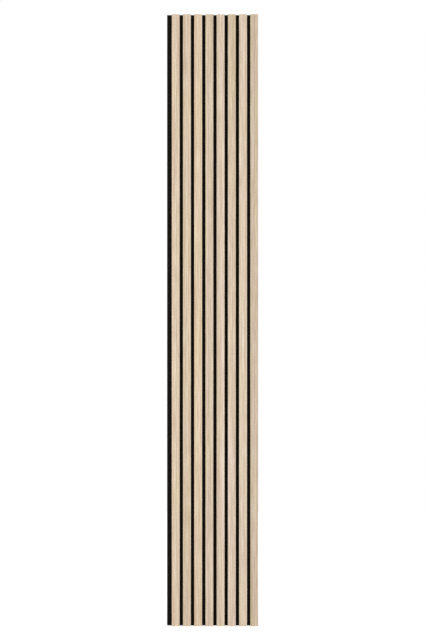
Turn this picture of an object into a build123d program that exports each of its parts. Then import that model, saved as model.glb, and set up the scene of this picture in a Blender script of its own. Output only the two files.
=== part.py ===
"""Slatted acoustic wall panel: veneered slats glued and stapled to a felt board.

Millimetres. The slats run along Z and face -Y, and the felt's back lies on the wall in the plane Y = 0.
The origin is the centre of that back face.
"""

import math
import os

from build123d import *

# Panel
panel_length = 2700.0
joint_strip = 21.0  # bare felt along the left edge, where the next panel closes up

# Felt board
felt_thickness = 9.0
felt_setback = 2.5  # the felt ends this far short of the slats at both ends

# Slats: a dyed fibreboard core with a veneer on its face
slat_count = 8
slat_width = 34.5
slat_gap = 15.0
core_thickness = 11.4
veneer_thickness = 0.6
veneer_arris = 0.25  # sanded off the veneer's two long front edges

# Staples, driven from the back with the crown across the slat
staple_crown = 12.8  # outside the legs
wire_width = 0.95
wire_thickness = 0.65
crown_sink = 1.2  # crown below the felt's back face
tip_cover = 5.0  # core left in front of the leg tips
staple_end_distance = 75.0  # from the panel's ends to the first and last staple
staple_spacing = 430.0  # at most, along a slat

# Across the panel
slat_pitch = slat_width + slat_gap
panel_width = joint_strip + slat_count * slat_pitch - slat_gap
first_slat = -panel_width / 2 + joint_strip + slat_width / 2
slat_centres = [first_slat + n * slat_pitch for n in range(slat_count)]

# Through the panel, from the wall forwards
felt_front = -felt_thickness
core_front = felt_front - core_thickness
veneer_front = core_front - veneer_thickness
staple_tips = core_front + tip_cover

# Along the panel
staple_run = panel_length - 2 * staple_end_distance
staple_steps = math.ceil(staple_run / staple_spacing)
staple_heights = [staple_run * (n / staple_steps - 0.5) for n in range(staple_steps + 1)]


def along_panel(outline, setback=0.0):
    """The closed outline, in the XY plane, run out over the panel's length, less a setback at both ends."""
    return extrude(make_face(outline), amount=panel_length / 2 - setback, both=True)


def section(centre, width, back, front):
    """A rectangle of the panel's cross section, from its back face to its front face."""
    left = centre - width / 2
    right = centre + width / 2
    return Polyline((left, back), (right, back), (right, front), (left, front), close=True)


def wire_form(crown_back):
    """Staple wire bent to a square U, from crown_back to the leg tips."""
    outside = staple_crown / 2
    inside = outside - wire_thickness
    crown_front = -crown_sink - wire_thickness
    outline = Polyline(
        (-outside, staple_tips),
        (-outside, crown_back),
        (outside, crown_back),
        (outside, staple_tips),
        (inside, staple_tips),
        (inside, crown_front),
        (-inside, crown_front),
        (-inside, staple_tips),
        close=True,
    )
    return extrude(make_face(outline), amount=wire_width / 2, both=True)


def at_staples(shape, centres):
    """A copy of the shape at every staple of the slats with these centres."""
    return [Pos(x, 0, z) * shape for x in centres for z in staple_heights]


def felt_board(pocket):
    """Pressed felt sheet, pierced by the staples, whose crowns have sunk into its back."""
    sheet = along_panel(section(0, panel_width, 0, felt_front), felt_setback)
    return sheet - at_staples(pocket, slat_centres)


def slat_core(centre, pocket):
    """Fibreboard strip, with the blind holes that the staple legs have made in its back."""
    strip = along_panel(section(centre, slat_width, felt_front, core_front))
    return strip - at_staples(pocket, [centre])


def face_veneer(centre):
    """Veneer strip as wide as its slat, with both long front edges sanded off."""
    arris = min(veneer_arris, veneer_thickness / 2)
    left = centre - slat_width / 2
    right = centre + slat_width / 2
    outline = Polyline(
        (left, core_front),
        (right, core_front),
        (right, veneer_front + arris),
        (right - arris, veneer_front),
        (left + arris, veneer_front),
        (left, veneer_front + arris),
        close=True,
    )
    return along_panel(outline)


def build():
    """Every piece of the panel by the name of its node."""
    staple = wire_form(crown_back=-crown_sink)
    pocket = wire_form(crown_back=felt_thickness)  # open at the felt's back
    pieces = {
        "felt_board": felt_board(pocket),
        "slat_staples": Compound(children=at_staples(staple, slat_centres)),
    }
    for number, centre in enumerate(slat_centres, start=1):
        pieces[f"slat_core_{number}"] = slat_core(centre, pocket)
        pieces[f"face_veneer_{number}"] = face_veneer(centre)
    return pieces


os.makedirs("parts", exist_ok=True)
for name, piece in build().items():
    export_step(piece, f"parts/{name}.step")
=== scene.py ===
"""Looks of a slatted acoustic wall panel, in a small studio.

The panel has oak faces, dyed fibreboard cores, needle felt and wire staples. Sizes are in metres, in the
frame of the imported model: the slats run along Z and face -Y, and the felt's back lies on Y = 0.
"""

import math
from collections import namedtuple

import bmesh
import bpy
from bmesh.types import BMFace, BMVert
from bpy.props import FloatProperty, FloatVectorProperty, PointerProperty
from mathutils import Matrix, Vector, noise


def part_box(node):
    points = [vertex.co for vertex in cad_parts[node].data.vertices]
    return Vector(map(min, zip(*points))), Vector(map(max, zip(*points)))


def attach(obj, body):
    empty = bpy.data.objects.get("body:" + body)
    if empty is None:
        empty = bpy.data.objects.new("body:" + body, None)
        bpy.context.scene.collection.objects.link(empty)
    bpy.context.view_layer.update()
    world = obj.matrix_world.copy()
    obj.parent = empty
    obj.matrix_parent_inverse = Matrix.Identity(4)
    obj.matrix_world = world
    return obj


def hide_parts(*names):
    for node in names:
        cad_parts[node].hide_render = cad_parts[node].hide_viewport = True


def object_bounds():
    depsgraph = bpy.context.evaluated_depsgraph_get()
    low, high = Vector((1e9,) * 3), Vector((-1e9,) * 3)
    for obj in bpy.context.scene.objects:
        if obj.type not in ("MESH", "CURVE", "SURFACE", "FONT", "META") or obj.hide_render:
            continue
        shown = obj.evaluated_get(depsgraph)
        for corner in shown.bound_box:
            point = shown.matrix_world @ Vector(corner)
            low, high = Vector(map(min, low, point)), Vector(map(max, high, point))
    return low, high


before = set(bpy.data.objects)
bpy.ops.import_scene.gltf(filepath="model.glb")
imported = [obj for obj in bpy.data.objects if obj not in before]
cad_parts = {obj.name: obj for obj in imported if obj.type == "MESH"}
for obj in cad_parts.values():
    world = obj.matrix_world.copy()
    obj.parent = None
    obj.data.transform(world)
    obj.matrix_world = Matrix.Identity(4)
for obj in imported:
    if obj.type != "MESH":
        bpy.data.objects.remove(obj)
cad_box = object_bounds()

bl_info = {
    "name": "Slatted Acoustic Panel",
    "version": (1, 0, 0),
    "blender": (4, 5, 0),
    "location": "View3D > Sidebar > Acoustic Panel",
    "description": "Dresses the pieces of a slatted acoustic wall panel and sets up a studio for it",
    "category": "Object",
}

MM = 0.001
ACROSS = Vector((1, 0, 0))
UP = Vector((0, 0, 1))
BODY = "root"
SLAT_NUMBERS = range(1, 1 + sum(name.startswith("slat_core_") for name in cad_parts))

# The photograph's frame, in pixels
PICTURE_WIDTH = 426
PICTURE_HEIGHT = 640
PANEL_PICTURE_HEIGHT = 612.1
PANEL_PICTURE_CENTRE = (212.6, 320.25)

# Sockets of a Mix node that mixes colours, which share their names with its other kinds
MIX_FACTOR = 0
MIX_A = 6
MIX_B = 7
MIX_RESULT = 2


def linear(hex_colour):
    """Linear RGB of an sRGB hex colour."""
    channels = [int(hex_colour[n:n + 2], 16) / 255 for n in (1, 3, 5)]
    return tuple(c / 12.92 if c <= 0.04045 else ((c + 0.055) / 1.055) ** 2.4 for c in channels)


# Settings that a user would change


class VeneerSettings(bpy.types.PropertyGroup):
    """Sizes and colours of the oak faces."""

    arris_radius: FloatProperty(
        name="Arris radius",
        description="Rounding sanded on the long front edges",
        default=0.25 * MM,
        unit="LENGTH",
    )
    early_wood: FloatVectorProperty(
        name="Early wood",
        description="Palest streaks of the oak",
        default=linear("#e4d3bd"),
        subtype="COLOR",
    )
    late_wood: FloatVectorProperty(
        name="Late wood",
        description="Darkest streaks of the oak",
        default=linear("#c6af94"),
        subtype="COLOR",
    )
    pore: FloatVectorProperty(
        name="Pores",
        description="Open vessels that the knife has cut lengthways",
        default=linear("#9c8060"),
        subtype="COLOR",
    )
    ray: FloatVectorProperty(
        name="Rays",
        description="Short pale flecks between the rings",
        default=linear("#ecdfca"),
        subtype="COLOR",
    )
    straw: FloatVectorProperty(
        name="Straw",
        description="Tint of the yellower stretches of a leaf",
        default=linear("#fffff7"),
        subtype="COLOR",
    )
    rose: FloatVectorProperty(
        name="Rose",
        description="Tint of the pinker stretches of a leaf",
        default=linear("#fffcfe"),
        subtype="COLOR",
    )
    streak_width: FloatProperty(
        name="Streak width",
        description="Spacing of the tonal streaks that show across a room",
        default=4.6 * MM,
        unit="LENGTH",
    )
    ring_width: FloatProperty(
        name="Ring width",
        description="Mean distance between growth rings on the face",
        default=1.8 * MM,
        unit="LENGTH",
    )
    leaf_lightness: FloatVectorProperty(
        name="Leaf lightness",
        description="How much lighter each face is than the mean, from left to right",
        size=8,
        default=(0.0, -0.04, 0.03, -0.035, 0.045, -0.015, 0.05, -0.125),
    )
    leaf_warmth: FloatVectorProperty(
        name="Leaf warmth",
        description="How much less blue each face is than the mean, from left to right",
        size=8,
        default=(0.02, 0.02, 0.05, 0.0, -0.05, -0.02, -0.03, 0.0),
    )
    leaf_fade: FloatVectorProperty(
        name="Leaf fade",
        description="How much paler each face is at its foot, and darker at its head, than at its middle",
        size=8,
        default=(-0.01, 0.005, 0.01, 0.015, 0.01, 0.075, 0.015, 0.0),
    )


class CoreSettings(bpy.types.PropertyGroup):
    """Colours of the slat cores."""

    dye: FloatVectorProperty(
        name="Dye",
        description="Fibreboard dyed black all through",
        default=linear("#12100e"),
        subtype="COLOR",
    )
    dust: FloatVectorProperty(
        name="Dust",
        description="Paler fibre that sawing has raised",
        default=linear("#37322b"),
        subtype="COLOR",
    )


class FeltSettings(bpy.types.PropertyGroup):
    """Sizes and colours of the felt board."""

    edge_radius: FloatProperty(
        name="Edge radius",
        description="Softening of the knife-cut edges",
        default=0.9 * MM,
        unit="LENGTH",
    )
    puff: FloatProperty(
        name="Puff",
        description="How far the felt swells between the slats that press on it",
        default=0.4 * MM,
        unit="LENGTH",
    )
    lumps: FloatProperty(
        name="Lumps",
        description="Unevenness of the felt's back",
        default=0.15 * MM,
        unit="LENGTH",
    )
    dimple_reach: FloatProperty(
        name="Dimple reach",
        description="How far from a staple the felt is pulled in",
        default=6.0 * MM,
        unit="LENGTH",
    )
    mat: FloatVectorProperty(
        name="Mat",
        description="Spun-dyed black fibre",
        default=linear("#0a0806"),
        subtype="COLOR",
    )
    # Colour of loose fibre ends: partly their own paler fibre, partly painted sheen where they stand up and
    # catch light
    loose_fibre_sheen: FloatVectorProperty(
        name="Loose fibre",
        description="Fibre ends that stand up and catch light",
        default=linear("#2b2722"),
        subtype="COLOR",
    )


class StapleSettings(bpy.types.PropertyGroup):
    """Sizes and colour of the staples."""

    bend_radius: FloatProperty(
        name="Bend radius",
        description="Outside of the bend from leg to crown",
        default=1.1 * MM,
        unit="LENGTH",
    )
    wire_edge: FloatProperty(
        name="Wire edge",
        description="Rounding of the flattened wire's edges",
        default=0.16 * MM,
        unit="LENGTH",
    )
    zinc: FloatVectorProperty(
        name="Zinc",
        description="Galvanised wire",
        default=linear("#b9b9b4"),
        subtype="COLOR",
    )


class StageSettings(bpy.types.PropertyGroup):
    """Camera, lamps and floor."""

    lens: FloatProperty(
        name="Lens",
        description="Focal length, long enough to look nearly square on to the whole panel",
        default=150.0,
        unit="CAMERA",
    )
    lamp_power: FloatProperty(
        name="Lamp power",
        description="Power of each of the two softboxes in front",
        default=195.0,
        unit="POWER",
    )
    back_power: FloatProperty(
        name="Back power",
        description="Power of the softbox behind",
        default=120.0,
        unit="POWER",
    )
    ambient: FloatProperty(
        name="Ambient",
        description="Light from all round, as a share of the level at which colours show as written",
        default=0.45,
        subtype="FACTOR",
    )
    floor: FloatVectorProperty(
        name="Floor",
        description="Pale studio floor",
        default=linear("#f9f9f9"),
        subtype="COLOR",
    )


class PanelSettings(bpy.types.PropertyGroup):
    """All settings of the panel."""

    veneer: PointerProperty(type=VeneerSettings)
    core: PointerProperty(type=CoreSettings)
    felt: PointerProperty(type=FeltSettings)
    staple: PointerProperty(type=StapleSettings)
    stage: PointerProperty(type=StageSettings)


# Meshes and materials


def add_node(tree, kind, inputs=None, **settings):
    """A node of this kind with these settings, and with its inputs set to values or linked to outputs."""
    node = tree.nodes.new(kind)
    for name, value in settings.items():
        setattr(node, name, value)
    for name, value in (inputs or {}).items():
        if isinstance(value, bpy.types.NodeSocket):
            tree.links.new(value, node.inputs[name])
        else:
            node.inputs[name].default_value = value
    return node


def start_material(name):
    """A new material, and its node tree, which is still empty."""
    material = bpy.data.materials.new(name)
    material.use_nodes = True
    material.node_tree.nodes.clear()
    return material, material.node_tree


def end_material(tree, surface):
    """Ends a material's node tree with a shader that has these inputs."""
    shader = add_node(tree, "ShaderNodeBsdfPrincipled", surface)
    add_node(tree, "ShaderNodeOutputMaterial", {"Surface": shader.outputs["BSDF"]})


def fibres(tree, place, size, detail=0.0, turn=0.0):
    """Noise from 0 to 1 whose marks have about this size along X, Y and Z, turned about Y.

    A size of 0 draws the marks right through along that axis.
    """
    mapping = {"Vector": place, "Rotation": (0, turn, 0), "Scale": size}
    sized = add_node(tree, "ShaderNodeMapping", mapping, vector_type="TEXTURE").outputs["Vector"]
    marks = {"Vector": sized, "Scale": 1.0, "Detail": detail}
    return add_node(tree, "ShaderNodeTexNoise", marks).outputs["Fac"]


def with_alpha(colour):
    """A colour that lets nothing through."""
    return (*colour, 1.0)


def add_object(bm, name, material):
    """The finished mesh as an object of this material."""
    mesh = bpy.data.meshes.new(name)
    bm.to_mesh(mesh)
    bm.free()
    mesh.materials.append(material)
    thing = bpy.data.objects.new(name, mesh)
    bpy.context.scene.collection.objects.link(thing)
    return thing


def add_piece(bm, name, material, node):
    """The finished mesh as a piece of the panel that stands for this node of the frame."""
    piece = add_object(bm, name, material)
    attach(piece, BODY)
    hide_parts(node)
    return piece


def whole(bm):
    """All vertices, edges and faces of a bmesh."""
    return bm.verts[:] + bm.edges[:] + bm.faces[:]


def only(kind, geometry):
    """The vertices, or the faces, among the geometry that an operator has made."""
    return [part for part in geometry if isinstance(part, kind)]


def box_mesh(low, high):
    """A bmesh with one box between these corners."""
    bm = bmesh.new()
    size = high - low
    matrix = Matrix.Translation((low + high) / 2) @ Matrix.Diagonal(size.to_4d())
    bmesh.ops.create_cube(bm, size=1.0, matrix=matrix)
    return bm


def round_edges(bm, edges, radius, segments):
    """Rounds these edges, and returns the faces of the rounding."""
    rounding = bmesh.ops.bevel(
        bm,
        geom=edges,
        offset=radius,
        affect="EDGES",
        segments=segments,
        profile=0.5,
        material=-1,
    )
    return rounding["faces"]


def cut_along(bm, direction, places):
    """Adds a loop of edges round the mesh at each of these places in this direction from the origin."""
    for place in places:
        bmesh.ops.bisect_plane(bm, geom=whole(bm), plane_co=direction * place, plane_no=direction)


# Oak faces

LEAF_SHIFT = 3.7  # by which the pattern moves along from leaf to leaf
GRAIN_SWING = 3 * MM
SWING_SIZE = (90 * MM, 0, 600 * MM)
RING_CROWDING = 6.0  # rings by which the count runs ahead and falls behind
CROWDING_SIZE = (14 * MM, 0, 900 * MM)
STREAK_LENGTH = 420 * MM
MARK_SIZE = (4 * MM, 0, 80 * MM)
BAND_SIZE = (5 * MM, 0, 5.0)  # longer than a leaf, so that a band runs from end to end
MARK_SHADE = 0.5  # how much marks, bands and the ends of rings darken, beside the streaks' 1
BAND_SHADE = 0.5
RING_SHADE = 0.12
LATE_SHADES = (0.86, 1.24)  # where the wood begins to darken, and where it is darkest
PORE_SIZE = (0.25 * MM, 0, 8 * MM)
PORE_NOISE = (0.56, 0.66)  # at the rim of a slit, and at its bottom
EARLY_PART = (0.1, 0.5)  # of a ring's width, over which pores grow fewer
EARLY_PORES = 0.8
LATE_PORES = 0.1
PORE_DEPTH = 0.05 * MM
PORE_RELIEF = 0.6
RAY_SIZE = (0.4 * MM, 0, 6 * MM)
RAY_NOISE = (0.68, 0.78)  # at the edge of a ray, and along its middle
RAY_STRENGTH = 0.5
HUE_SIZE = (30 * MM, 0, 350 * MM)
HUE_NOISE = (0.35, 0.65)  # where a leaf is all straw, and all rose
RED_IN_WARMTH = 0.35  # how much redder a warm leaf is, for each share by which it is less blue
BLUE_IN_FADE = 2.0  # how much more a fading leaf changes in its blue
LACQUER_IOR = 1.5
LACQUER_ROUGHNESS = 0.5
PORE_ROUGHNESS = 0.68
ARRIS_STEPS = 3

# Shares of the square picture that a face's bake UV map gives to each of its parts
BAKE_UV = "OFBake"
BAKE_LENGTHS = 4
FACE_SHARE = 0.88  # of a column's width
BACK_START = 0.90
BACK_SHARE = 0.08
LENGTH_START = 0.005  # of the height
LENGTH_SHARE = 0.965
END_START = 0.98
END_SHARE = 0.015
SQUARE_ON = 0.5  # least part of a normal along an axis, for a face that looks that way


def swung_grain(tree, leaf):
    """The place on a leaf, with the grain swinging a little aside over the length."""
    swing = fibres(tree, leaf, SWING_SIZE, detail=1)
    sideways = add_node(tree, "ShaderNodeCombineXYZ", {"X": swing}).outputs["Vector"]
    aside = {0: sideways, 1: (GRAIN_SWING, 0, 0), 2: leaf}
    return add_node(tree, "ShaderNodeVectorMath", aside, operation="MULTIPLY_ADD").outputs["Vector"]


def growth_rings(tree, grain, ring_width):
    """How far through its growth ring a point lies, from 0 where the ring begins to 1 where it ends."""
    across = add_node(tree, "ShaderNodeSeparateXYZ", {"Vector": grain}).outputs["X"]
    even = add_node(tree, "ShaderNodeMath", {0: across, 1: ring_width}, operation="DIVIDE").outputs[0]
    crowded = {0: fibres(tree, grain, CROWDING_SIZE), 1: RING_CROWDING, 2: even}
    count = add_node(tree, "ShaderNodeMath", crowded, operation="MULTIPLY_ADD").outputs[0]
    return add_node(tree, "ShaderNodeMath", {0: count}, operation="FRACT").outputs[0]


def late_share(tree, grain, ring, streak_width):
    """How dark the wood is, from 0 in the palest early wood to 1 in the darkest late wood."""
    shade = fibres(tree, grain, (streak_width, 0, STREAK_LENGTH), detail=2)
    marks = fibres(tree, grain, MARK_SIZE)
    bands = fibres(tree, grain, BAND_SIZE)
    for layer, share in ((marks, MARK_SHADE), (bands, BAND_SHADE), (ring, RING_SHADE)):
        darker = {0: layer, 1: share, 2: shade}
        shade = add_node(tree, "ShaderNodeMath", darker, operation="MULTIPLY_ADD").outputs[0]
    turned = {"Value": shade, "From Min": LATE_SHADES[0], "From Max": LATE_SHADES[1]}
    return add_node(tree, "ShaderNodeMapRange", turned).outputs[0]


def pore_share(tree, grain, ring):
    """1 in an open pore and 0 beside it, with most pores where a ring begins."""
    vessel = fibres(tree, grain, PORE_SIZE)
    slits = {"Value": vessel, "From Min": PORE_NOISE[0], "From Max": PORE_NOISE[1]}
    slit = add_node(tree, "ShaderNodeMapRange", slits).outputs[0]
    fewer = {"Value": ring, "From Min": EARLY_PART[0], "From Max": EARLY_PART[1]}
    fewer |= {"To Min": EARLY_PORES, "To Max": LATE_PORES}
    porous = add_node(tree, "ShaderNodeMapRange", fewer).outputs[0]
    return add_node(tree, "ShaderNodeMath", {0: slit, 1: porous}, operation="MULTIPLY").outputs[0]


def ray_share(tree, leaf):
    """How much a thin pale ray covers the wood."""
    fleck = fibres(tree, leaf, RAY_SIZE)
    thin = {"Value": fleck, "From Min": RAY_NOISE[0], "From Max": RAY_NOISE[1], "To Max": RAY_STRENGTH}
    return add_node(tree, "ShaderNodeMapRange", thin).outputs[0]


def slow_hue(tree, leaf, look):
    """A tint that turns slowly from straw to rose along a leaf."""
    drift = fibres(tree, leaf, HUE_SIZE, detail=1)
    slow = {"Value": drift, "From Min": HUE_NOISE[0], "From Max": HUE_NOISE[1]}
    turn = add_node(tree, "ShaderNodeMapRange", slow).outputs[0]
    hues = {MIX_FACTOR: turn, MIX_A: with_alpha(look.straw), MIX_B: with_alpha(look.rose)}
    return add_node(tree, "ShaderNodeMix", hues, data_type="RGBA").outputs[MIX_RESULT]


def head_to_foot(tree, place, number, look):
    """A tint that changes evenly from a leaf's foot to its head."""
    low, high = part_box(f"face_veneer_{number}")
    height = add_node(tree, "ShaderNodeSeparateXYZ", {"Vector": place}).outputs["Z"]
    level = {"Value": height, "From Min": low.z, "From Max": high.z}
    rise = add_node(tree, "ShaderNodeMapRange", level).outputs[0]
    white = Vector((1, 1, 1))
    fade = look.leaf_fade[number - 1] * Vector((1, 1, BLUE_IN_FADE))
    ends = {MIX_FACTOR: rise, MIX_A: with_alpha(white + fade), MIX_B: with_alpha(white - fade)}
    return add_node(tree, "ShaderNodeMix", ends, data_type="RGBA").outputs[MIX_RESULT]


def oak_veneer(number, look):
    """Pale rift-cut oak veneer, sanded and matt lacquered.

    Straight growth rings run up the slat. A row of open pores marks where each begins, and its wood
    darkens towards its end. Broad streaks and slow changes from straw to rose show across a room, and thin
    pale rays close by. The lacquer leaves a dull, even sheen that is duller in the pores.
    """
    material, tree = start_material(f"oak_veneer_{number}")
    place = add_node(tree, "ShaderNodeTexCoord").outputs["Object"]
    shift = {"Vector": place, "Location": (0, 0, LEAF_SHIFT * number)}
    leaf = add_node(tree, "ShaderNodeMapping", shift).outputs["Vector"]
    grain = swung_grain(tree, leaf)
    ring = growth_rings(tree, grain, look.ring_width)
    late = late_share(tree, grain, ring, look.streak_width)
    pore = pore_share(tree, grain, ring)
    ray = ray_share(tree, leaf)

    warmth = look.leaf_warmth[number - 1]
    tint = Vector((1 + RED_IN_WARMTH * warmth, 1, 1 - warmth)) * (1 + look.leaf_lightness[number - 1])
    wood = with_alpha(Vector(look.early_wood) * tint)
    for share, colour in ((late, look.late_wood), (pore, look.pore), (ray, look.ray)):
        laid = {MIX_FACTOR: share, MIX_A: wood, MIX_B: with_alpha(Vector(colour) * tint)}
        wood = add_node(tree, "ShaderNodeMix", laid, data_type="RGBA").outputs[MIX_RESULT]
    for change in (slow_hue(tree, leaf, look), head_to_foot(tree, place, number, look)):
        tinted = {MIX_FACTOR: 1.0, MIX_A: wood, MIX_B: change}
        mix = add_node(tree, "ShaderNodeMix", tinted, data_type="RGBA", blend_type="MULTIPLY")
        wood = mix.outputs[MIX_RESULT]

    dull = {"Value": pore, "To Min": LACQUER_ROUGHNESS, "To Max": PORE_ROUGHNESS}
    roughness = add_node(tree, "ShaderNodeMapRange", dull).outputs[0]
    cut = {"Height": pore, "Distance": PORE_DEPTH, "Strength": PORE_RELIEF}
    relief = add_node(tree, "ShaderNodeBump", cut, invert=True).outputs["Normal"]
    surface = {"Base Color": wood, "Roughness": roughness, "Normal": relief, "IOR": LACQUER_IOR}
    end_material(tree, surface)
    return material


def map_for_bake(bm, low, high):
    """Gives a face a UV map in a few lengths side by side, so that a square picture holds its fine grain.

    Each length has a column. Its face and edges, unrolled, fill most of the column, and the glued back the
    rest. The two sawn ends lie along the top.
    """
    layer = bm.loops.layers.uv.new(BAKE_UV)
    width, depth, height = high - low
    length = height / BAKE_LENGTHS
    unrolled = width + 2 * depth
    for face in bm.faces:
        level = (face.calc_center_median().z - low.z) / length
        column = min(int(level), BAKE_LENGTHS - 1)
        for loop in face.loops:
            right, back, up = loop.vert.co - low
            forward = depth - back
            across = right + forward if right < width / 2 else unrolled - (width - right) - forward
            u = FACE_SHARE * across / unrolled
            v = LENGTH_START + LENGTH_SHARE * (up / length - column)
            if abs(face.normal.z) > SQUARE_ON:
                u = FACE_SHARE * right / width
                v = END_START + END_SHARE * forward / depth
            elif face.normal.y > SQUARE_ON:
                u = BACK_START + BACK_SHARE * right / width
            loop[layer].uv = ((column + u) / BAKE_LENGTHS, v)


def oak_face(number, look):
    """One veneer strip, with its long front edges sanded round."""
    node = f"face_veneer_{number}"
    low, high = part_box(node)
    bm = box_mesh(low, high)
    middle = (low + high) / 2
    front_edges = [
        e for e in bm.edges
        if all(v.co.y < middle.y for v in e.verts) and abs(e.verts[0].co.x - e.verts[1].co.x) < MM
    ]
    for face in round_edges(bm, front_edges, look.arris_radius, ARRIS_STEPS):
        face.smooth = True
    cut_along(bm, UP, [low.z + (high.z - low.z) * n / BAKE_LENGTHS for n in range(1, BAKE_LENGTHS)])
    map_for_bake(bm, low, high)
    add_piece(bm, f"oak_face_{number}", oak_veneer(number, look), node)


class ACOUSTIC_PANEL_OT_oak_faces(bpy.types.Operator):
    """Makes the veneer strip on the front of every slat"""

    bl_idname = "acoustic_panel.oak_faces"
    bl_label = "Oak Faces"

    def execute(self, context):
        for number in SLAT_NUMBERS:
            oak_face(number, context.scene.acoustic_panel.veneer)
        return {"FINISHED"}


# Slat cores

FLECK_SIZE = (0.4 * MM, 0.4 * MM, 1.2 * MM)
SAW_LINE_SIZE = (0.8 * MM, 0.8 * MM, 160 * MM)
DUST_NOISE = (0.95, 1.35)  # where the board is clean, and where it is all dust
BOARD_ROUGHNESS = 0.7
DUST_ROUGHNESS = 0.9
BOARD_SPECULAR = 0.2
SAW_DEPTH = 0.15 * MM
SAW_RELIEF = 0.5


def dyed_fibreboard(look):
    """Fibreboard dyed black all through, gang-sawn and left bare.

    A dull mat of short fibre, with pale flecks of torn fibre, thickest in the lines that the saw has left
    along the strip.
    """
    material, tree = start_material("dyed_fibreboard")
    place = add_node(tree, "ShaderNodeTexCoord").outputs["Object"]
    flecks = fibres(tree, place, FLECK_SIZE, detail=3)
    lines = fibres(tree, place, SAW_LINE_SIZE, detail=1)
    sawn = add_node(tree, "ShaderNodeMath", {0: flecks, 1: lines}, operation="ADD").outputs[0]
    dusted = {"Value": sawn, "From Min": DUST_NOISE[0], "From Max": DUST_NOISE[1]}
    dust = add_node(tree, "ShaderNodeMapRange", dusted).outputs[0]
    colours = {MIX_FACTOR: dust, MIX_A: with_alpha(look.dye), MIX_B: with_alpha(look.dust)}
    colour = add_node(tree, "ShaderNodeMix", colours, data_type="RGBA").outputs[MIX_RESULT]
    dull = {"Value": dust, "To Min": BOARD_ROUGHNESS, "To Max": DUST_ROUGHNESS}
    roughness = add_node(tree, "ShaderNodeMapRange", dull).outputs[0]
    scored = {"Height": sawn, "Distance": SAW_DEPTH, "Strength": SAW_RELIEF}
    relief = add_node(tree, "ShaderNodeBump", scored).outputs["Normal"]
    surface = {
        "Base Color": colour,
        "Roughness": roughness,
        "Normal": relief,
        "Specular IOR Level": BOARD_SPECULAR,
    }
    end_material(tree, surface)
    return material


class ACOUSTIC_PANEL_OT_slat_cores(bpy.types.Operator):
    """Gives every slat core its bare black fibreboard"""

    bl_idname = "acoustic_panel.slat_cores"
    bl_label = "Slat Cores"

    def execute(self, context):
        material = dyed_fibreboard(context.scene.acoustic_panel.core)
        for number in SLAT_NUMBERS:
            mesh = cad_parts[f"slat_core_{number}"].data
            mesh.materials.clear()
            mesh.materials.append(material)
        return {"FINISHED"}


# Staples

DRAW_LINE_SIZE = (6 * MM, 0.12 * MM, 0.12 * MM)
ZINC_ROUGHNESS = (0.25, 0.5)  # least and most, by the draw lines
ZINC_DULLING = 0.8
WIRE_EDGE_STEPS = 2
BEND_STEPS = 4
SHARP_ANGLE = math.radians(50)
FACE_DIGITS = 6  # decimals of a metre, which tell the wire's faces apart

StapleSizes = namedtuple("StapleSizes", "wire_width wire_thickness crown crown_back tips")


def slat_centre(number):
    """The middle of a slat along X."""
    low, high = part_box(f"slat_core_{number}")
    return (low.x + high.x) / 2


def staple_levels():
    """The lower and upper face of the wire at every row of staples, from the foot up."""
    return sorted({round(v.co.z, FACE_DIGITS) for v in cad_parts["slat_staples"].data.vertices})


def staple_heights():
    """The middle of every row of staples."""
    levels = staple_levels()
    return [(below + above) / 2 for below, above in zip(levels[::2], levels[1::2])]


def staple_sizes():
    """The staple's sizes, and the crown's back and the leg tips along Y, as the frame has them."""
    low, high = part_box("slat_staples")
    levels = staple_levels()
    depths = sorted({round(v.co.y, FACE_DIGITS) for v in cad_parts["slat_staples"].data.vertices})
    return StapleSizes(
        wire_width=levels[1] - levels[0],
        wire_thickness=depths[-1] - depths[-2],
        crown=2 * (slat_centre(SLAT_NUMBERS[0]) - low.x),
        crown_back=high.y,
        tips=low.y,
    )


def galvanised_wire(look):
    """Drawn steel wire, flattened and zinc coated: soft grey metal with fine draw lines along the crown."""
    material, tree = start_material("galvanised_wire")
    place = add_node(tree, "ShaderNodeTexCoord").outputs["Object"]
    lines = fibres(tree, place, DRAW_LINE_SIZE, detail=2)
    dulled = Vector(look.zinc) * ZINC_DULLING
    colours = {MIX_FACTOR: lines, MIX_A: with_alpha(look.zinc), MIX_B: with_alpha(dulled)}
    colour = add_node(tree, "ShaderNodeMix", colours, data_type="RGBA").outputs[MIX_RESULT]
    dull = {"Value": lines, "To Min": ZINC_ROUGHNESS[0], "To Max": ZINC_ROUGHNESS[1]}
    roughness = add_node(tree, "ShaderNodeMapRange", dull).outputs[0]
    end_material(tree, {"Base Color": colour, "Roughness": roughness, "Metallic": 1.0})
    return material


def with_edges(faces):
    """The end of the wire with its edges, without which it would stay behind as a wall inside."""
    return [*faces, *(edge for face in faces for edge in face.edges)]


def push_on(bm, faces, step):
    """Extrudes the end of the wire by this step, and returns the new end."""
    made = bmesh.ops.extrude_face_region(bm, geom=with_edges(faces))["geom"]
    bmesh.ops.translate(bm, vec=step, verts=only(BMVert, made))
    return only(BMFace, made)


def bend_on(bm, faces, centre):
    """Bends the end of the wire a quarter turn to the right about this centre, and returns the new end."""
    bent = bmesh.ops.spin(
        bm,
        geom=with_edges(faces),
        cent=centre,
        axis=(0, 0, -1),
        dvec=(0, 0, 0),
        angle=math.pi / 2,
        steps=BEND_STEPS,
        use_merge=False,
        use_duplicate=False,
    )
    return only(BMFace, bent["geom_last"])


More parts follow.
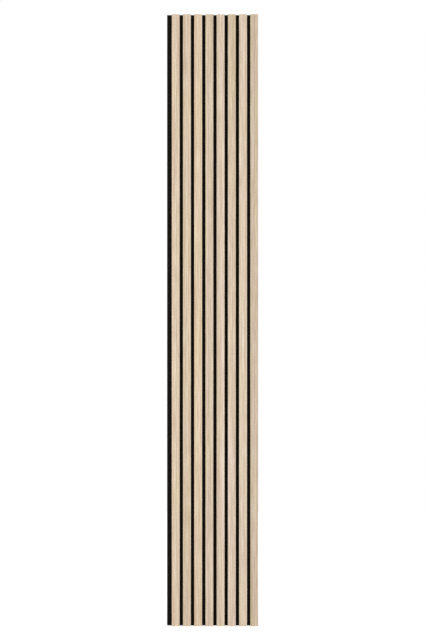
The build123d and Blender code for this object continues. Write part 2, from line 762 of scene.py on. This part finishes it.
def bent_staple(look):
    """A bmesh with one staple: flat wire up one leg, bent into the crown and bent down the other leg."""
    sizes = staple_sizes()
    bm = bmesh.new()
    section = bmesh.ops.create_grid(bm, x_segments=1, y_segments=1, size=0.5)["verts"]
    bmesh.ops.scale(bm, vec=(sizes.wire_thickness, sizes.wire_width, 1), verts=section)
    bmesh.ops.bevel(
        bm,
        geom=section,
        offset=look.wire_edge,
        affect="VERTICES",
        segments=WIRE_EDGE_STEPS,
        profile=0.5,
        material=-1,
    )
    bmesh.ops.rotate(bm, verts=bm.verts, cent=(0, 0, 0), matrix=Matrix.Rotation(math.pi / 2, 3, "X"))
    bmesh.ops.translate(bm, verts=bm.verts, vec=((sizes.wire_thickness - sizes.crown) / 2, sizes.tips, 0))

    bend_start = sizes.crown_back - look.bend_radius
    bend_centre = sizes.crown / 2 - look.bend_radius
    leg = Vector((0, bend_start - sizes.tips, 0))
    end = push_on(bm, bm.faces[:], leg)
    end = bend_on(bm, end, (-bend_centre, bend_start, 0))
    end = push_on(bm, end, (2 * bend_centre, 0, 0))
    end = bend_on(bm, end, (bend_centre, bend_start, 0))
    push_on(bm, end, -leg)
    bmesh.ops.recalc_face_normals(bm, faces=bm.faces)
    return bm


def wire_staples(look):
    """Every staple, as copies of one."""
    bm = bent_staple(look)
    staple = whole(bm)
    places = [Vector((slat_centre(n), 0, z)) for n in SLAT_NUMBERS for z in staple_heights()]
    for place in places:
        copy = bmesh.ops.duplicate(bm, geom=staple)["geom"]
        bmesh.ops.translate(bm, vec=place, verts=only(BMVert, copy))
    bmesh.ops.delete(bm, geom=only(BMVert, staple), context="VERTS")
    piece = add_piece(bm, "wire_staples", galvanised_wire(look), "slat_staples")
    piece.data.shade_smooth()
    piece.data.set_sharp_from_angle(angle=SHARP_ANGLE)


class ACOUSTIC_PANEL_OT_wire_staples(bpy.types.Operator):
    """Makes the staples that hold the slats to the felt"""

    bl_idname = "acoustic_panel.wire_staples"
    bl_label = "Wire Staples"

    def execute(self, context):
        wire_staples(context.scene.acoustic_panel.staple)
        return {"FINISHED"}


# Felt board

EDGE_STEPS = 3
ROW_SPACING = 15 * MM
ROW_CLEARANCE = 5 * MM  # least distance from a row to the rows of a dimple
EDGE_CLEARANCE = 1 * MM  # least distance from a cut to the felt's long edges
SKIN = 0.5 * MM  # depth at the front and the back in which the felt swells and is pulled in
GAP_CUTS = (0.0, 0.12, 0.3, 0.5, 0.7, 0.88, 1.0)  # shares of the gap between two slats
DIMPLE_COLUMNS = (0.0, 3.0, 5.2, 6.6, 8.4, 11.0)  # millimetres to each side of a staple's middle
DIMPLE_ROWS = (0.0, 0.6, 1.5, 3.0, 5.5)  # millimetres above and below it
LUMP_SIZE = 18 * MM
PUFF_SPREAD = (0.6, 1.4)  # least and most of the puff, by the lumps
FIBRE_TURNS = (8, 47, 88, 133, 164)  # degrees
FIBRE_SIZE = (1.4 * MM, 1.4 * MM, 10 * MM)
FIBRE_NOISE = 0.5  # along a fibre's line
FIBRE_WIDTH = 0.05  # to each side of it, in the same noise
TUFT_SIZE = (6 * MM, 6 * MM, 6 * MM)
TUFT_NOISE = (0.3, 0.7)  # where fibres lie flattest, and where they stand most
TUFT_LEVELS = (0.5, 0.9)  # how far they stand up at both
LAYER_SIZE = (8 * MM, 0.7 * MM, 8 * MM)
LOOSE_LEVELS = (0.35, 1.0)  # where fibre lies in the mat, and where it is loose
MAT_ROUGHNESS = 0.85
LOOSE_ROUGHNESS = 1.0
FIBRE_DEPTH = 0.4 * MM
FIBRE_RELIEF = 0.7
FELT_SPECULAR = 0.06
FELT_SHEEN = 0.08
FELT_SHEEN_ROUGHNESS = 0.6


def standing_fibres(tree, place):
    """How far the felt's fibres stand up from the mat, from 0 to 1."""
    uneven = fibres(tree, place, TUFT_SIZE, detail=3)
    clumps = {"Value": uneven, "From Min": TUFT_NOISE[0], "From Max": TUFT_NOISE[1]}
    clumps |= {"To Min": TUFT_LEVELS[0], "To Max": TUFT_LEVELS[1]}
    tufts = add_node(tree, "ShaderNodeMapRange", clumps).outputs[0]
    mat = fibres(tree, place, LAYER_SIZE, detail=2)
    for turn in FIBRE_TURNS:
        strand = fibres(tree, place, FIBRE_SIZE, detail=1, turn=math.radians(turn))
        off_line = {0: strand, 1: FIBRE_NOISE}
        aside = add_node(tree, "ShaderNodeMath", off_line, operation="SUBTRACT").outputs[0]
        apart = add_node(tree, "ShaderNodeMath", {0: aside}, operation="ABSOLUTE").outputs[0]
        thread = {"Value": apart, "From Max": FIBRE_WIDTH, "To Min": 1.0, "To Max": 0.0}
        fibre = add_node(tree, "ShaderNodeMapRange", thread).outputs[0]
        mat = add_node(tree, "ShaderNodeMath", {0: mat, 1: fibre}, operation="MAXIMUM").outputs[0]
    return add_node(tree, "ShaderNodeMath", {0: mat, 1: tufts}, operation="MULTIPLY").outputs[0]


def needle_felt(look):
    """Needled polyester felt, spun black.

    A dull black mat of fibres that lie every way and cross, greyer where loose ones stand up, in thin
    layers that show at the cut edges. The grey of the loose fibres is partly their own paler ends and
    partly painted sheen where they catch light. The fibres are drawn several times too coarse, because
    their real twentieth of a millimetre is too fine to show.
    """
    material, tree = start_material("needle_felt")
    place = add_node(tree, "ShaderNodeTexCoord").outputs["Object"]
    raised = standing_fibres(tree, place)
    # Greyer where loose fibres stand up: partly paler fibre, partly painted sheen
    freed = {"Value": raised, "From Min": LOOSE_LEVELS[0], "From Max": LOOSE_LEVELS[1]}
    loose = add_node(tree, "ShaderNodeMapRange", freed).outputs[0]
    colours = {MIX_FACTOR: loose, MIX_A: with_alpha(look.mat), MIX_B: with_alpha(look.loose_fibre_sheen)}
    colour = add_node(tree, "ShaderNodeMix", colours, data_type="RGBA").outputs[MIX_RESULT]
    dull = {"Value": loose, "To Min": MAT_ROUGHNESS, "To Max": LOOSE_ROUGHNESS}
    roughness = add_node(tree, "ShaderNodeMapRange", dull).outputs[0]
    napped = {"Height": raised, "Distance": FIBRE_DEPTH, "Strength": FIBRE_RELIEF}
    relief = add_node(tree, "ShaderNodeBump", napped).outputs["Normal"]
    surface = {
        "Base Color": colour,
        "Roughness": roughness,
        "Normal": relief,
        "Specular IOR Level": FELT_SPECULAR,
        "Sheen Weight": FELT_SHEEN,
        "Sheen Roughness": FELT_SHEEN_ROUGHNESS,
        "Sheen Tint": with_alpha(look.loose_fibre_sheen),
    }
    end_material(tree, surface)
    return material


def bare_stretches():
    """Both sides along X of every stretch of felt that no slat covers, from left to right."""
    slats = [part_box(f"slat_core_{n}") for n in SLAT_NUMBERS]
    felt_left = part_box("felt_board")[0].x
    starts = [felt_left] + [high.x for low, high in slats[:-1]]
    ends = [low.x for low, high in slats]
    return list(zip(starts, ends))


def both_ways(offsets):
    """These millimetres to both sides, in metres."""
    return sorted({side * offset * MM for offset in offsets for side in (-1, 1)})


def smooth_step(share):
    """0 up to a share of 0, 1 from a share of 1, and eased between them."""
    share = min(max(share, 0.0), 1.0)
    return share * share * (3 - 2 * share)


def swell(share):
    """1 midway across a gap, and 0 at the slats on both sides."""
    return 1 - (2 * share - 1) ** 2


def cut_felt(bm, low, high):
    """Cuts the felt into a grid that is closest between the slats and at the staples."""
    heights = staple_heights()
    columns = {start + (end - start) * share for start, end in bare_stretches() for share in GAP_CUTS}
    columns |= {slat_centre(n) + offset for n in SLAT_NUMBERS for offset in both_ways(DIMPLE_COLUMNS)}
    clear_columns = [x for x in columns if low.x + EDGE_CLEARANCE < x < high.x - EDGE_CLEARANCE]
    cut_along(bm, ACROSS, sorted(clear_columns))
    row_count = int((high.z - low.z) / ROW_SPACING)
    even_rows = [low.z + (high.z - low.z) * n / row_count for n in range(1, row_count)]
    clear = DIMPLE_ROWS[-1] * MM + ROW_CLEARANCE
    rows = {z for z in even_rows if min(abs(z - height) for height in heights) > clear}
    rows |= {height + offset for height in heights for offset in both_ways(DIMPLE_ROWS)}
    cut_along(bm, UP, sorted(rows))


def press_felt(bm, low, high, look):
    """Swells the felt between the slats that press on it, and pulls its back in at the staples."""
    sizes = staple_sizes()
    heights = staple_heights()
    centres = [slat_centre(n) for n in SLAT_NUMBERS]
    stretches = bare_stretches()
    dimple_depth = sizes.wire_thickness / 2 - sizes.crown_back  # the crown lies half in the dimple's bottom
    least, most = PUFF_SPREAD
    for vert in bm.verts:
        x, y, z = vert.co
        lump = (1 + noise.noise(vert.co / LUMP_SIZE)) / 2  # from 0 to 1
        if y > high.y - SKIN:
            aside = max(min(abs(x - centre) for centre in centres) - sizes.crown / 2, 0)
            above = min(abs(z - height) for height in heights)
            pulled = 1 - smooth_step(math.hypot(aside, above) / look.dimple_reach)
            vert.co.y -= max(dimple_depth * pulled, look.lumps * lump)
        elif y < low.y + SKIN:
            for start, end in stretches:
                if start <= x <= end:
                    share = (x - start) / (end - start)
                    vert.co.y -= look.puff * (least + (most - least) * lump) * swell(share)


def felt_board(look):
    """The felt sheet with soft cut edges, swollen between the slats and pulled in at the staples."""
    low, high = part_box("felt_board")
    bm = box_mesh(low, high)
    round_edges(bm, bm.edges[:], look.edge_radius, EDGE_STEPS)
    cut_felt(bm, low, high)
    press_felt(bm, low, high, look)
    for face in bm.faces:
        face.smooth = True
    piece = add_piece(bm, "felt_sheet", needle_felt(look), "felt_board")


class ACOUSTIC_PANEL_OT_felt_board(bpy.types.Operator):
    """Makes the felt sheet that carries the slats"""

    bl_idname = "acoustic_panel.felt_board"
    bl_label = "Felt Board"

    def execute(self, context):
        felt_board(context.scene.acoustic_panel.felt)
        return {"FINISHED"}


# Stage

SENSOR = 36.0  # millimetres along the picture's long side
FLOOR_SIZE = 14.0
FLOOR_ROUGHNESS = 0.9
FLOOR_GLOW = 0.6  # lifts the floor to white where the camera sees it, and leaves the shadow on it
SOFTBOX_WIDTH = 2.4
SOFTBOX_ASIDE = 4.0
SOFTBOX_AHEAD = 7.0
WHITE = (1, 1, 1, 1)


def seen_directly(tree):
    """1 for rays from the camera, a mirror or glass, which see the background as it is, and 0 for light."""
    path = add_node(tree, "ShaderNodeLightPath").outputs
    seen = path["Is Camera Ray"]
    for kind in ("Is Glossy Ray", "Is Transmission Ray"):
        seen = add_node(tree, "ShaderNodeMath", {0: seen, 1: path[kind]}, operation="MAXIMUM").outputs[0]
    return seen


def white_world(look):
    """Even light from all round, behind which the background is plain white."""
    world = bpy.data.worlds.new("studio")
    world.use_nodes = True
    tree = world.node_tree
    tree.nodes.clear()
    light = add_node(tree, "ShaderNodeBackground", {"Color": WHITE, "Strength": look.ambient})
    white = add_node(tree, "ShaderNodeBackground", {"Color": WHITE, "Strength": 1.0})
    both = {0: seen_directly(tree), 1: light.outputs[0], 2: white.outputs[0]}
    mixed = add_node(tree, "ShaderNodeMixShader", both)
    add_node(tree, "ShaderNodeOutputWorld", {"Surface": mixed.outputs[0]})
    bpy.context.scene.world = world


def studio_floor(look):
    """A pale floor under the panel's foot."""
    material, tree = start_material("studio_floor")
    lifted = {0: seen_directly(tree), 1: FLOOR_GLOW}
    glow = add_node(tree, "ShaderNodeMath", lifted, operation="MULTIPLY").outputs[0]
    surface = {
        "Base Color": with_alpha(look.floor),
        "Roughness": FLOOR_ROUGHNESS,
        "Specular IOR Level": 0.0,
        "Emission Color": WHITE,
        "Emission Strength": glow,
    }
    end_material(tree, surface)
    bm = bmesh.new()
    foot = Matrix.Translation((0, 0, cad_box[0].z))
    bmesh.ops.create_grid(bm, x_segments=1, y_segments=1, size=FLOOR_SIZE / 2, matrix=foot)
    add_object(bm, "studio_floor", material)


def softbox(name, side, ahead, power):
    """A softbox as tall as the panel, to one side of it and ahead of it, or behind if ahead is negative."""
    lamp = bpy.data.lights.new(name, "AREA")
    lamp.shape = "RECTANGLE"
    lamp.size = SOFTBOX_WIDTH
    lamp.size_y = cad_box[1].z - cad_box[0].z
    lamp.energy = power
    thing = bpy.data.objects.new(name, lamp)
    thing.location = (side * SOFTBOX_ASIDE, -ahead * SOFTBOX_AHEAD, 0)
    thing.rotation_euler = (-thing.location).to_track_quat("-Z", "Y").to_euler()
    thing.visible_camera = False
    bpy.context.scene.collection.objects.link(thing)


def panel_camera(look):
    """A camera square on to the panel, which fills as much of the picture as in the photograph."""
    scene = bpy.context.scene
    low, high = cad_box
    pixel = (high.z - low.z) / PANEL_PICTURE_HEIGHT
    aside = (PICTURE_WIDTH / 2 - PANEL_PICTURE_CENTRE[0]) * pixel
    above = (PANEL_PICTURE_CENTRE[1] - PICTURE_HEIGHT / 2) * pixel
    distance = PICTURE_HEIGHT * pixel * look.lens / SENSOR
    lens = bpy.data.cameras.new("panel_camera")
    lens.sensor_width = SENSOR
    lens.lens = look.lens
    camera = bpy.data.objects.new("panel_camera", lens)
    middle = (low + high) / 2
    camera.location = (middle.x + aside, low.y - distance, middle.z + above)
    camera.rotation_euler = (math.pi / 2, 0, 0)
    scene.collection.objects.link(camera)
    scene.camera = camera
    scene.view_settings.view_transform = "Standard"


class ACOUSTIC_PANEL_OT_stage(bpy.types.Operator):
    """Sets up the floor, the lamps, the background and the camera"""

    bl_idname = "acoustic_panel.stage"
    bl_label = "Stage"

    def execute(self, context):
        look = context.scene.acoustic_panel.stage
        white_world(look)
        studio_floor(look)
        softbox("softbox_left", -1, 1, look.lamp_power)
        softbox("softbox_right", 1, 1, look.lamp_power)
        softbox("softbox_back", 1, -1, look.back_power)
        panel_camera(look)
        return {"FINISHED"}


# Sidebar


class ACOUSTIC_PANEL_PT_sidebar(bpy.types.Panel):
    """Settings and operators of the acoustic panel."""

    bl_idname = "ACOUSTIC_PANEL_PT_sidebar"
    bl_label = "Acoustic Panel"
    bl_space_type = "VIEW_3D"
    bl_region_type = "UI"
    bl_category = "Acoustic Panel"

    def draw(self, context):
        settings = context.scene.acoustic_panel
        for operator, group in STEPS:
            box = self.layout.box()
            box.operator(operator.bl_idname)
            look = getattr(settings, group)
            for name in look.__annotations__:
                box.prop(look, name)


STEPS = (
    (ACOUSTIC_PANEL_OT_stage, "stage"),
    (ACOUSTIC_PANEL_OT_oak_faces, "veneer"),
    (ACOUSTIC_PANEL_OT_slat_cores, "core"),
    (ACOUSTIC_PANEL_OT_felt_board, "felt"),
    (ACOUSTIC_PANEL_OT_wire_staples, "staple"),
)
CLASSES = (
    VeneerSettings,
    CoreSettings,
    FeltSettings,
    StapleSettings,
    StageSettings,
    PanelSettings,
    *(operator for operator, group in STEPS),
    ACOUSTIC_PANEL_PT_sidebar,
)


def register():
    for cls in CLASSES:
        bpy.utils.register_class(cls)
    bpy.types.Scene.acoustic_panel = PointerProperty(type=PanelSettings)


def unregister():
    del bpy.types.Scene.acoustic_panel
    for cls in reversed(CLASSES):
        bpy.utils.unregister_class(cls)


def main():
    register()
    bpy.ops.acoustic_panel.stage()
    bpy.ops.acoustic_panel.oak_faces()
    bpy.ops.acoustic_panel.slat_cores()
    bpy.ops.acoustic_panel.felt_board()
    bpy.ops.acoustic_panel.wire_staples()


if __name__ == "__main__":
    main()
